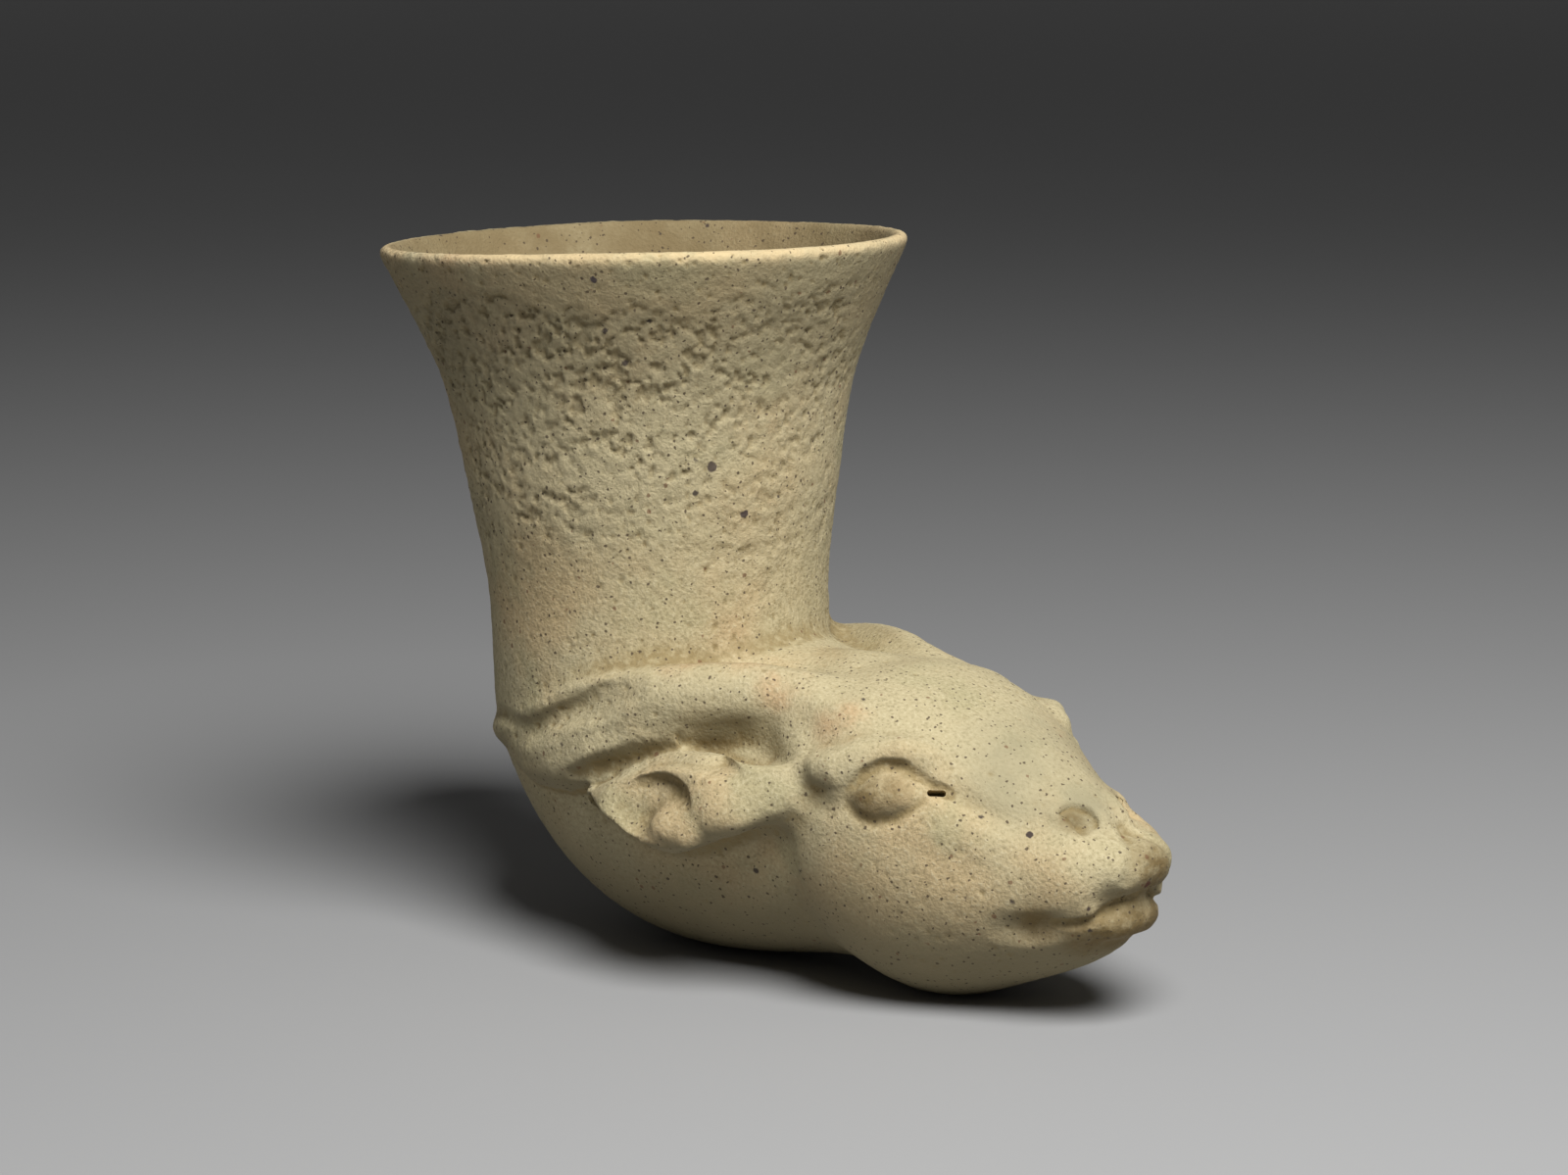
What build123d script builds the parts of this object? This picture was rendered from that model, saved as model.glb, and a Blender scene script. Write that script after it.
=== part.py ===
"""Animal-head rhyton: a thrown beaker on a hollow bent neck that ends in a moulded, horned head.

Frame: millimetres, +Z up, +X towards the muzzle, origin on the table at the middle of the belly's rest.
Right and left are the animal's own, so right is -Y, and the left pieces mirror the right ones about XZ.
"""

import math
import os
from collections import namedtuple

from build123d import *

os.makedirs("parts", exist_ok=True)

Place = namedtuple("Place", "x y z")

# Joints: the slip between two luted faces, and the tongue that laps into the next piece
slip = 0.2
lap_length = 5.0
shell_wall = 7.0

# Beaker, measured from its leaning axis
rim_radius = 59.0
rim_height = 154.0
rim_wall = 4.0
rim_round = 1.5
lip_flat = 0.3
rim_flare = 24.0
flare_radius = 45.6
flare_height = 124.0
waist_radius = 41.0
waist_height = 100.0
foot_radius = 37.6
cup_axis_x = -24.1
cup_lean = 3.0

# Slanted seam between the beaker and the bent neck
seam_height = 58.0
seam_tilt = 17.5

# Bent neck: each rib runs from the crook to an outer point under the back of the vessel
Rib = namedtuple("Rib", "crook_share outer_x outer_z half_width")
heel = Rib(crook_share=0.12, outer_x=-53.0, outer_z=27.0, half_width=36.5)
sole = Rib(crook_share=0.3, outer_x=-31.0, outer_z=6.5, half_width=35.5)
belly = Rib(crook_share=0.55, outer_x=0.0, outer_z=-0.4, half_width=33.5)
neck_x = 42.0
neck_top = 68.0
neck_bottom = 4.0
neck_half_width = 31.0

# Head: each station has its heights on the middle plane, and a half width and height at brow, cheek and jaw
Station = namedtuple("Station", "x top brow_y brow_z cheek_y cheek_z jaw_y jaw_z bottom")
nape = Station(neck_x, 68.5, 22.0, 62.0, 33.0, 36.0, 19.0, 11.0, 4.5)
temple = Station(50.0, 68.5, 25.5, 62.0, 34.5, 33.0, 20.0, 8.5, 1.5)
orbit = Station(64.0, 64.5, 26.0, 57.0, 32.5, 31.0, 19.0, 7.0, -0.3)
bridge = Station(79.0, 58.0, 17.5, 52.0, 25.5, 28.5, 15.0, 10.0, 4.6)
muzzle = Station(91.0, 51.5, 12.0, 46.0, 20.0, 29.0, 12.0, 14.0, 9.5)
nostril = Station(100.0, 45.0, 10.0, 41.5, 17.0, 29.5, 10.5, 18.5, 14.5)
snout = Station(105.0, 38.5, 7.0, 36.0, 11.5, 29.0, 8.0, 21.5, 19.0)
hollow_stations = 5

# Mouth groove along both sides of the muzzle
mouth_width = 1.2
mouth_depth = 2.0
mouth_corner_x = 87.0
mouth_corner_z = 21.0
mouth_bend_x = 101.0
mouth_bend_z = 27.0
mouth_front_z = 31.5

# Horns: tapered rolls laid over the seam, from the back of the foot to the forehead
horn_end_radius = 3.4
horn_side_radius = 5.5
horn_peak_radius = 7.0
horn_root_radius = 5.5
horn_back_sink = 2.6
horn_side_sink = 2.2
horn_drop = 4.0
horn_side_angle = 125.0
horn_shoulder_angle = 80.0
horn_crest = Place(x=4.0, y=-33.0, z=60.2)
horn_peak = Place(x=25.5, y=-23.5, z=63.4)
horn_root = Place(x=44.0, y=-17.0, z=60.0)

# Eye pellets, with the brow rolls arched over them
eye_length = 17.0
eye_thickness = 10.5
eye_sink = 1.0
eye_height = 47.2
eye_toe_in = 25.0
eye_rise = 9.0
brow_radius = 4.2
brow_end_radius = 2.6
brow_back = 12.5
brow_front = 9.5
brow_arch = 8.0
brow_sink = 3.2

# Vent pierced at the front corner of the right eye
vent_length = 4.5
vent_height = 1.6
vent_gap = 0.6

# Ears: leaves with (half depth, half height) from the tip to the root, a scooped face and a pellet inside
ear_tip = Place(x=-9.4, y=-39.5, z=39.5)
ear_middle = Place(x=14.0, y=-38.5, z=40.5)
ear_root = Place(x=36.0, y=-37.0, z=45.5)
ear_seat = Place(x=47.0, y=-29.0, z=46.5)
ear_sections = [(1.5, 2.0), (5.0, 7.5), (6.0, 10.5), (6.0, 8.6), (5.0, 6.0), (4.0, 5.0)]
ear_scoop_length = 30.0
ear_scoop_thickness = 18.0
ear_scoop_depth = 5.0
ear_scoop_back = 3.0
ear_pellet_length = 11.0
ear_pellet_thickness = 8.0
ear_pellet_forward = 5.0
ear_pellet_drop = 3.5
ear_pellet_sink = 3.0

# Nostril arches, upper lip and lower lip
nostril_radius = 1.5
nostril_reach = 3.6
nostril_arch = 2.0
nostril_sink = 0.8
nose_pad_width = 22.0
nose_pad_thickness = 13.0
nose_pad_height = 34.2
lower_lip_width = 20.0
lower_lip_thickness = 10.0
lower_lip_height = 23.2
lower_lip_setback = 1.5

diagonal = math.sqrt(0.5)
pellet_shares = (-0.97, -0.8, -0.45, 0.0, 0.45, 0.8, 0.97)
lean = math.radians(cup_lean)
tilt = math.radians(seam_tilt)
seam_centre = Vector(cup_axis_x, 0, seam_height)
cup_axis = Vector(-math.sin(lean), 0, math.cos(lean))
cup_plane = Plane(seam_centre, x_dir=(math.cos(lean), 0, math.sin(lean)), z_dir=(0, -1, 0))
seam_along = Vector(math.cos(tilt), 0, math.sin(tilt))
seam_plane = Plane(seam_centre, x_dir=seam_along, z_dir=seam_along.cross(Vector(0, 1, 0)))
seam_half_length = foot_radius / math.cos(tilt - lean)
neck_plane = Plane.YZ.offset(neck_x)
neck_middle = (neck_top + neck_bottom) / 2
neck_half_height = (neck_top - neck_bottom) / 2
lap_inset = shell_wall / 2
widest_round = (rim_wall * math.cos(math.radians(rim_flare)) - lip_flat) / 2


def cup_form(foot_inset, rim_inset):
    """Beaker profile taken in by the two insets and turned about the leaning axis, down past the seam."""
    reach = foot_radius * math.tan(tilt - lean) + lap_length
    flare = math.radians(rim_flare)
    mid_inset = (foot_inset + rim_inset) / 2
    above_seam = lambda height: (height - seam_height) / math.cos(lean)
    with BuildPart() as form:
        with BuildSketch(cup_plane):
            with BuildLine():
                foot = Line((foot_radius - foot_inset, -reach), (foot_radius - foot_inset, reach))
                side = Spline(
                    foot @ 1,
                    (waist_radius - mid_inset, above_seam(waist_height)),
                    (flare_radius - rim_inset, above_seam(flare_height)),
                    (rim_radius - rim_inset, above_seam(rim_height)),
                    tangents=[(0, 1), (math.sin(flare), math.cos(flare))],
                )
                Polyline(side @ 1, (0, above_seam(rim_height)), (0, -reach), foot @ 0)
            make_face()
        revolve(axis=Axis(seam_centre, cup_axis))
    return form.part


def oval(half_length, half_width):
    """Ellipse in quarters, so that the ellipses of one loft keep their corners in line."""
    with BuildSketch() as ellipse:
        with BuildLine():
            for start in (0, 90, 180, 270):
                EllipticalCenterArc((0, 0), half_length, half_width, start_angle=start, arc_size=90)
        make_face()
    return ellipse.sketch


def elbow_form(inset):
    """Bent neck taken in by inset: ellipses from the seam, round the heel and belly, to the neck."""
    crook = seam_centre + seam_plane.x_dir * seam_half_length
    back = seam_centre - seam_plane.x_dir * seam_half_length
    nape_top = Vector(neck_x, 0, neck_top)
    spans = [(crook, back, foot_radius)]
    for rib in (heel, sole, belly):
        inner = crook + (nape_top - crook) * rib.crook_share
        spans.append((inner, Vector(rib.outer_x, 0, rib.outer_z), rib.half_width))
    spans.append((nape_top, Vector(neck_x, 0, neck_bottom), neck_half_width))
    with BuildPart() as form:
        for inner, outer, half_width in spans:
            along = inner - outer
            with BuildSketch(Plane((inner + outer) / 2, x_dir=along, z_dir=along.cross(Vector(0, 1, 0)))):
                add(oval(along.length / 2 - inset, half_width - inset))
        loft()
    return form.part


def head_half(inset, stations):
    """Right half of the head taken in by inset, lofted through the given stations."""
    slant = inset * diagonal
    with BuildPart() as form:
        for station in stations:
            with BuildSketch(Plane.YZ.offset(station.x)):
                with BuildLine():
                    side = Spline(
                        (0, station.top - inset),
                        (slant - station.brow_y, station.brow_z - slant),
                        (inset - station.cheek_y, station.cheek_z),
                        (slant - station.jaw_y, station.jaw_z + slant),
                        (0, station.bottom + inset),
                        tangents=[(-1, 0), (1, 0)],
                        tangent_scalars=[1, 1],
                    )
                    Line(side @ 1, side @ 0)
                make_face()
        loft()
    return form.part


def roll(points, sections, end_directions=()):
    """Roll of clay along a smooth line through the points, its (half width, half height) evenly spread."""
    with BuildPart() as form:
        with BuildLine():
            spine = Spline(*points, tangents=end_directions)
        for place, (half_width, half_height) in enumerate(sections):
            share = place / (len(sections) - 1)
            direction = spine % share
            with BuildSketch(Plane(spine @ share, x_dir=direction.cross(Vector(0, 0, 1)), z_dir=direction)):
                Ellipse(half_width, half_height)
        loft()
    return form.part


def round_sections(*radii):
    """Round sections for a roll."""
    return [(radius, radius) for radius in radii]


def pellet(centre, along, length, thickness):
    """Rounded pellet of clay with its long axis laid along a direction."""
    with BuildPart() as form:
        for share in pellet_shares:
            with BuildSketch(Plane(centre + along * (share * length / 2), z_dir=along)):
                Circle(thickness / 2 * math.sqrt(1 - share**2))
        loft()
    return form.part


def keep_piece(name, piece):
    """Label a finished piece and write it as its own node."""
    piece.part.label = name
    export_step(piece.part, f"parts/{name}.step")
    print(name, len(piece.part.solids()), round(piece.part.volume), piece.part.is_valid)


toe_in = math.radians(eye_toe_in)
rise = math.radians(eye_rise)
eye_along = Vector(math.cos(toe_in) * math.cos(rise), math.sin(toe_in) * math.cos(rise), math.sin(rise))
eye_out = Vector(math.sin(toe_in), -math.cos(toe_in), 0)
eye_share = (orbit.brow_z - eye_height) / (orbit.brow_z - orbit.cheek_z)
eye_y = orbit.brow_y + (orbit.cheek_y - orbit.brow_y) * eye_share
eye_centre = Vector(orbit.x, eye_sink - eye_y, eye_height)
vent_place = eye_centre + eye_along * (eye_length / 2 + vent_gap + vent_length / 2)

head_stations = (nape, temple, orbit, bridge, muzzle, nostril, snout)
cup_outer = cup_form(0, 0)
cup_hollow = cup_form(shell_wall, rim_wall)
elbow_outer = elbow_form(0)
elbow_hollow = elbow_form(shell_wall)
half_outer = head_half(0, head_stations)
half_hollow = head_half(shell_wall, head_stations[:hollow_stations])
mouth_floor = head_half(mouth_depth, head_stations)
with BuildPart() as vessel:
    add(cup_outer)
    split(bisect_by=seam_plane, keep=Keep.TOP)
    add(elbow_outer)
    add(half_outer)
    mirror(half_outer, about=Plane.XZ)
eye_socket = pellet(eye_centre, eye_along, eye_length + 2 * slip, eye_thickness + 2 * slip)

# Beaker: open flared cup, rebated at the foot for the neck's tongue
with BuildPart() as beaker:
    add(cup_outer)
    add(cup_hollow, mode=Mode.SUBTRACT)
    split(bisect_by=seam_plane, keep=Keep.TOP)
    fillet(beaker.faces().sort_by(Axis.Z)[-1].edges(), min(rim_round, widest_round))
    with BuildSketch(seam_plane):
        Ellipse(seam_half_length - lap_inset + slip, foot_radius - lap_inset + slip)
    extrude(amount=lap_length + slip, dir=cup_axis, mode=Mode.SUBTRACT)
keep_piece("beaker", beaker)

# Bent neck: hollow shell with a tongue into the beaker and one into the head, flat where the belly rests
with BuildPart() as elbow:
    add(elbow_outer)
    with BuildSketch(seam_plane):
        Ellipse(seam_half_length - lap_inset, foot_radius - lap_inset)
        Ellipse(seam_half_length - shell_wall, foot_radius - shell_wall, mode=Mode.SUBTRACT)
    extrude(amount=lap_length, dir=cup_axis)
    with BuildSketch(neck_plane):
        with Locations((0, neck_middle)):
            Ellipse(neck_half_width - lap_inset, neck_half_height - lap_inset)
            Ellipse(neck_half_width - shell_wall, neck_half_height - shell_wall, mode=Mode.SUBTRACT)
    extrude(amount=lap_length)
    add(elbow_hollow, mode=Mode.SUBTRACT)
    split(bisect_by=Plane.XY, keep=Keep.TOP)
keep_piece("elbow", elbow)

# Mouth: a strip along the lip line, whose inner part stays in the head
with BuildPart() as mouth:
    with BuildSketch(Plane.XZ):
        with BuildLine():
            lip_line = Polyline(
                (mouth_corner_x, mouth_corner_z),
                (mouth_bend_x, mouth_bend_z),
                (snout.x + nose_pad_thickness, mouth_front_z),
            )
        trace(lip_line, mouth_width)
    extrude(amount=nose_pad_width, both=True)
with BuildPart() as mouth_groove:
    add(mouth.part)
    add(mouth_floor, mode=Mode.SUBTRACT)

# Head: two moulded half shells rebated for the neck's tongue, with eye sockets and the mouth groove
with BuildPart() as half_shell:
    add(half_outer)
    add(half_hollow, mode=Mode.SUBTRACT)
    with BuildSketch(neck_plane):
        with Locations((0, neck_middle)):
            Ellipse(neck_half_width - lap_inset + slip, neck_half_height - lap_inset + slip)
    extrude(amount=lap_length + slip, mode=Mode.SUBTRACT)
    add(mouth_groove.part, mode=Mode.SUBTRACT)
    add(eye_socket, mode=Mode.SUBTRACT)
    split(bisect_by=Plane.XY, keep=Keep.TOP)
with BuildPart() as head_right:
    add(half_shell.part)
    with BuildSketch(Plane(vent_place, x_dir=eye_along, z_dir=eye_out)):
        SlotOverall(vent_length, vent_height)
    extrude(amount=eye_thickness, both=True, mode=Mode.SUBTRACT)
keep_piece("head_right", head_right)
with BuildPart() as head_left:
    mirror(half_shell.part, about=Plane.XZ)
keep_piece("head_left", head_left)


def applied(shape, *cutters):
    """Clay laid on the vessel: its shape less every form that it is pressed against."""
    with BuildPart() as piece:
        add(shape)
        for cutter in (vessel.part, *cutters):
            add(cutter, mode=Mode.SUBTRACT)
    return piece


def keep_pair(name, right_piece):
    """Keep a right-hand piece and its mirror image on the left."""
    with BuildPart() as left_piece:
        mirror(right_piece.part, about=Plane.XZ)
    keep_piece(f"right_{name}", right_piece)
    keep_piece(f"left_{name}", left_piece)


# Eyes, set in the head's sockets
eye_shape = pellet(eye_centre, eye_along, eye_length, eye_thickness)
with BuildPart() as eye:
    add(eye_shape)
keep_pair("eye", eye)

# Brows
brow_shape = roll(
    [
        eye_centre - eye_along * brow_back,
        eye_centre + Vector(0, 0, brow_arch) - eye_out * brow_sink,
        eye_centre + eye_along * brow_front + Vector(0, 0, eye_thickness / 2) - eye_out * brow_end_radius,
    ],
    round_sections(brow_end_radius, brow_radius, brow_radius, brow_radius, brow_end_radius),
)
keep_pair("brow", applied(brow_shape, eye_socket))


def around_seam(angle, sink):
    """Point just under the seam, at an angle round it from the front towards the right."""
    turn = math.radians(angle)
    forward = (seam_half_length - sink) * math.cos(turn)
    outward = (foot_radius - sink) * math.sin(turn)
    return seam_centre + seam_plane.x_dir * forward - Vector(0, outward, 0) - seam_plane.z_dir * horn_drop


# Horns, which meet end to end at the back
horn_shape = roll(
    [
        around_seam(180, horn_back_sink),
        around_seam(horn_side_angle, horn_back_sink),
        around_seam(horn_shoulder_angle, horn_side_sink),
        Vector(*horn_crest),
        Vector(*horn_peak),
        Vector(*horn_root),
    ],
    round_sections(
        horn_end_radius,
        horn_end_radius,
        horn_side_radius,
        horn_peak_radius,
        horn_peak_radius,
        horn_root_radius,
    ),
    [(0, -1, 0), Vector(*horn_root) - Vector(*horn_peak)],
)
keep_pair("horn", applied(horn_shape))

# Ears: the leaf runs into the neck and the head, which cut its seat
ear_line = [Vector(*place) for place in (ear_tip, ear_middle, ear_root, ear_seat)]
ear_along = (ear_line[2] - ear_line[0]).normalized()
ear_out = Vector(0, 0, 1).cross(ear_along).normalized() * -1
ear_face = ear_line[1] + ear_out * ear_sections[2][0]
ear_scoop = pellet(
    ear_face - ear_along * ear_scoop_back + ear_out * (ear_scoop_thickness / 2 - ear_scoop_depth),
    ear_along,
    ear_scoop_length,
    ear_scoop_thickness,
)
ear_shape = roll(ear_line, ear_sections)
ear = applied(ear_shape, ear_scoop)
keep_pair("ear", ear)
ear_pellet = pellet(
    ear_face + ear_along * ear_pellet_forward - Vector(0, 0, ear_pellet_drop) - ear_out * ear_pellet_sink,
    ear_along,
    ear_pellet_length,
    ear_pellet_thickness,
)
keep_pair("ear_pellet", applied(ear_pellet, ear.part))

# Nostril arches on the muzzle's upper corners
nostril_back = Vector(muzzle.x, nostril_sink - muzzle.brow_y, muzzle.brow_z - nostril_sink)
nostril_front = Vector(nostril.x, nostril_sink - nostril.brow_y, nostril.brow_z - nostril_sink)
nostril_centre = (nostril_back + nostril_front) / 2
nostril_along = (nostril_front - nostril_back).normalized()
nostril_shape = roll(
    [
        nostril_centre - nostril_along * nostril_reach,
        nostril_centre + Vector(0, 0, nostril_arch),
        nostril_centre + nostril_along * nostril_reach,
    ],
    round_sections(nostril_radius, nostril_radius, nostril_radius),
)
keep_pair("nostril", applied(nostril_shape))

# Lips, parted by the mouth
across = Vector(0, 1, 0)
nose_pad_shape = pellet(Vector(snout.x, 0, nose_pad_height), across, nose_pad_width, nose_pad_thickness)
keep_piece("nose_pad", applied(nose_pad_shape, mouth.part))
lower_lip_place = Vector(snout.x - lower_lip_setback, 0, lower_lip_height)
lower_lip_shape = pellet(lower_lip_place, across, lower_lip_width, lower_lip_thickness)
keep_piece("lower_lip", applied(lower_lip_shape, mouth.part))
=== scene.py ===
import math

import bmesh
import bpy
import numpy as np
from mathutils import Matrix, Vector


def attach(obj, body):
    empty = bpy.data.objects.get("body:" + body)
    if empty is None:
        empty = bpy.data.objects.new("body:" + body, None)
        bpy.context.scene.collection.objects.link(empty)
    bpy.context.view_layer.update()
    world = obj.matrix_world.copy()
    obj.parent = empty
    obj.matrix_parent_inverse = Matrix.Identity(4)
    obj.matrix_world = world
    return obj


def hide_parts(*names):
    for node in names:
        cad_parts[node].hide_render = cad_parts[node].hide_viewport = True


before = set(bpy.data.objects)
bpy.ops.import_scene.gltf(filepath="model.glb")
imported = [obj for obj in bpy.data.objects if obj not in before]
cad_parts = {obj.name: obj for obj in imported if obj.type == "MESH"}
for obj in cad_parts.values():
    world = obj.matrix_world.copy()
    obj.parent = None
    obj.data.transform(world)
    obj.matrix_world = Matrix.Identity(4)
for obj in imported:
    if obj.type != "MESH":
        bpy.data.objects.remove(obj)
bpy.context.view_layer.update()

mm = 0.001
scene = bpy.context.scene
print("frame loaded:", len(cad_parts), "clay pieces")


# all sculpting is done on plain arrays in millimetres

def arraysOf(mesh):
    points = np.empty(len(mesh.vertices) * 3, np.float32)
    mesh.vertices.foreach_get("co", points)
    corners = np.empty(len(mesh.loops), np.int32)
    mesh.loops.foreach_get("vertex_index", corners)
    return points.reshape(-1, 3).astype(float) / mm, corners.reshape(-1, 4)


def meshOf(name, points, quads):
    mesh = bpy.data.meshes.new(name)
    mesh.vertices.add(len(points))
    mesh.vertices.foreach_set("co", (points * mm).astype(np.float32).ravel())
    mesh.loops.add(quads.size)
    mesh.loops.foreach_set("vertex_index", quads.ravel().astype(np.int32))
    mesh.polygons.add(len(quads))
    mesh.polygons.foreach_set("loop_start", np.arange(0, quads.size, 4, dtype=np.int32))
    mesh.polygons.foreach_set("use_smooth", np.ones(len(quads), bool))
    mesh.update(calc_edges=True)
    return mesh


def remeshed(mesh, voxel):
    blank = bpy.data.objects.new("wetClay", mesh)
    scene.collection.objects.link(blank)
    voxels = blank.modifiers.new("voxels", "REMESH")
    voxels.mode = "VOXEL"
    voxels.voxel_size = voxel * mm
    graph = bpy.context.evaluated_depsgraph_get()
    result = bpy.data.meshes.new_from_object(blank.evaluated_get(graph), depsgraph=graph)
    bpy.data.objects.remove(blank)
    return arraysOf(result)


def edgesOf(quads):
    pairs = np.concatenate([quads[:, [k, (k + 1) % 4]] for k in range(4)]).astype(np.int64)
    span = int(pairs.max()) + 1
    keys = np.unique(pairs.min(axis=1) * span + pairs.max(axis=1))
    return np.stack([keys // span, keys % span], 1)


def largestShell(points, quads):
    # slip gaps leave small bubbles inside the wall, and only the outer skin is kept
    edges = edgesOf(quads)
    label = np.arange(len(points))
    while True:
        lowest = np.minimum(label[edges[:, 0]], label[edges[:, 1]])
        before = label.copy()
        np.minimum.at(label, edges[:, 0], lowest)
        np.minimum.at(label, edges[:, 1], lowest)
        label = label[label]
        if np.array_equal(before, label):
            break
    keep = label == np.bincount(label).argmax()
    fresh = np.cumsum(keep) - 1
    return points[keep], fresh[quads[keep[quads[:, 0]]]]


def normalsOf(points, quads):
    first, second, third, fourth = (points[quads[:, k]] for k in range(4))
    across = np.cross(third - first, fourth - second)
    flat = quads.ravel()
    total = np.stack([np.bincount(flat, np.repeat(across[:, k], 4), len(points)) for k in range(3)], 1)
    return total / np.maximum(np.linalg.norm(total, axis=1), 1e-9)[:, None]


def softened(points, edges, rounds, share):
    # in each round a point goes that share of the way to the middle of its neighbours
    start, end = edges.T
    size = len(points)
    count = np.bincount(edges.ravel(), minlength=size)
    for _ in range(rounds):
        total = np.stack([
            np.bincount(start, points[end, k], size) + np.bincount(end, points[start, k], size)
            for k in range(3)], 1)
        points = points + np.asarray(share).reshape(-1, 1) * (total / count[:, None] - points)
    return points


# random fields for hand-worked clay, seeded by number so that every run is the same

def dice(cells, seed):
    # a number from 0 to 1 for each cell, scrambled from its place and the seed
    mixed = cells[:, 0] * 374761393 + cells[:, 1] * 668265263 + cells[:, 2] * 2147483629
    mixed = (mixed + seed * 1274126177) & 0xFFFFFFFF
    mixed = ((mixed ^ (mixed >> 13)) * 1274126177) & 0xFFFFFFFF
    return ((mixed ^ (mixed >> 16)) & 0xFFFFFF) / 0x1000000


def lumps(places, size, seed):
    # smooth bumps from -1 to 1, about one per size
    places = places / size
    cell = np.floor(places).astype(np.int64)
    part = places - cell
    part = part * part * (3 - 2 * part)
    total = np.zeros(len(places))
    for corner in np.ndindex(2, 2, 2):
        weight = np.prod(np.where(np.array(corner) == 1, part, 1 - part), axis=1)
        total += weight * (dice(cell + corner, seed) * 2 - 1)
    return total


def lumpSum(layers, start=0.0):
    # several sets of lumps added to a start, each with its weight, size in mm and seed
    total = start
    for weight, size, seed in layers:
        total = total + weight * lumps(points, size, seed)
    return total


def pocks(places, spacing, smallest, largest, share, seed):
    # round pits from 0 at the edge to 1 at the middle, one in some cells of the given spacing
    places = places / spacing
    cell = np.floor(places).astype(np.int64)
    deepest = np.zeros(len(places))
    for step in np.ndindex(3, 3, 3):
        near = cell + np.array(step) - 1
        middle = near + np.stack([dice(near, seed + k) for k in range(3)], 1)
        radius = (smallest + (largest - smallest) * dice(near, seed + 3)) / spacing
        away = np.linalg.norm(places - middle, axis=1) / radius
        there = dice(near, seed + 4) < share
        deepest = np.maximum(deepest, np.where(there, np.clip(1 - away ** 2, 0, 1), 0))
    return deepest


def ease(value, low, high):
    t = np.clip((value - low) / (high - low), 0, 1)
    return t * t * (3 - 2 * t)


# the clay body: every piece pushed together, with slip worked into the joins

clayBody = dict(
    voxel=0.62,  # fine enough for the pits on the cup
    worked=2.2,  # radius that wet fingers leave in a join
    slip=dict(rounds=3, share=0.5),  # softening while the joins are filled
    settle=dict(rounds=8, share=0.5),  # softening that takes the voxel steps out
)

joined = bmesh.new()
for name in sorted(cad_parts):
    joined.from_mesh(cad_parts[name].data)
wetMesh = bpy.data.meshes.new("wetClay")
joined.to_mesh(wetMesh)
joined.free()
points, quads = largestShell(*remeshed(wetMesh, clayBody["voxel"]))
swollen = points + normalsOf(points, quads) * clayBody["worked"]
points, quads = largestShell(*remeshed(meshOf("swollenClay", swollen, quads), clayBody["voxel"]))
edges = edgesOf(quads)
points = softened(points, edges, **clayBody["slip"])
points = points - normalsOf(points, quads) * clayBody["worked"]
points = softened(points, edges, **clayBody["settle"])
print("clay joined:", len(points), "points", points.min(0).round(1), points.max(0).round(1))


# sculpting: every stroke is given for the right side, and is worked again on the left

hand = dict(  # how fingers and tools meet the clay
    middle=0.6,  # share of a press's radius that tells which way its skin faces
    facing=0.35,  # skin turned this much towards the tool takes all of a press
    search=12,  # mm round a roll or gouge that is looked at
    sideways=0.05,  # skin has to face the side this much to take a roll
    behind=1,  # mm behind a roll that still counts as its skin
    felt=0.05,  # mm of change from which skin is rubbed
    rubbed=0.5,  # share of the way that a rubbed point goes in a round
    rollRounds=4,
    gougeRounds=8,
    flareFade=3,  # mm of depth over which a flare starts
)


def alongPath(places, path):
    # distance from each place to the path, and the nearest point of the path with all that it carries
    nearest = np.full(len(places), np.inf)
    carried = np.zeros((len(places), path.shape[1]))
    width = places.shape[1]
    for start, end in zip(path[:-1], path[1:]):
        line = (end - start)[:width]
        t = np.clip((places - start[:width]) @ line / max(line @ line, 1e-9), 0, 1)
        at = start + t[:, None] * (end - start)
        away = np.linalg.norm(places - at[:, :width], axis=1)
        closer = away < nearest
        nearest[closer] = away[closer]
        carried[closer] = at[closer]
    return nearest, carried


def bothSides(path):
    path = np.array(path, float)
    yield path, -1
    yield path * np.where(np.arange(path.shape[1]) == 1, -1, 1), 1


def nearBox(path, margin):
    low, high = path[:, :3].min(0) - margin, path[:, :3].max(0) + margin
    return np.nonzero(np.all((points > low) & (points < high), axis=1))[0]


def press(path, radius, depth):
    # a finger or tool drawn along the path (x, y, z and, if wanted, the share of the depth reached there),
    # pressing in the near side, or raising it if depth is below 0
    normals = normalsOf(points, quads)
    deepest = np.zeros(len(points))
    for line, _ in bothSides(path):
        if line.shape[1] == 3:
            line = np.column_stack([line, np.ones(len(line))])
        near = nearBox(line, radius)
        away, at = alongPath(points[near], line)
        outward = normals[near][away < radius * hand["middle"]].mean(0)
        facing = ease(normals[near] @ (outward / np.linalg.norm(outward)), 0.0, hand["facing"])
        amount = np.clip(1 - (away / radius) ** 2, 0, 1) ** 2 * facing * at[:, 3]
        deepest[near] = np.maximum(deepest[near], amount)
    points[:] = points - normals * (depth * deepest)[:, None]


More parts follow.
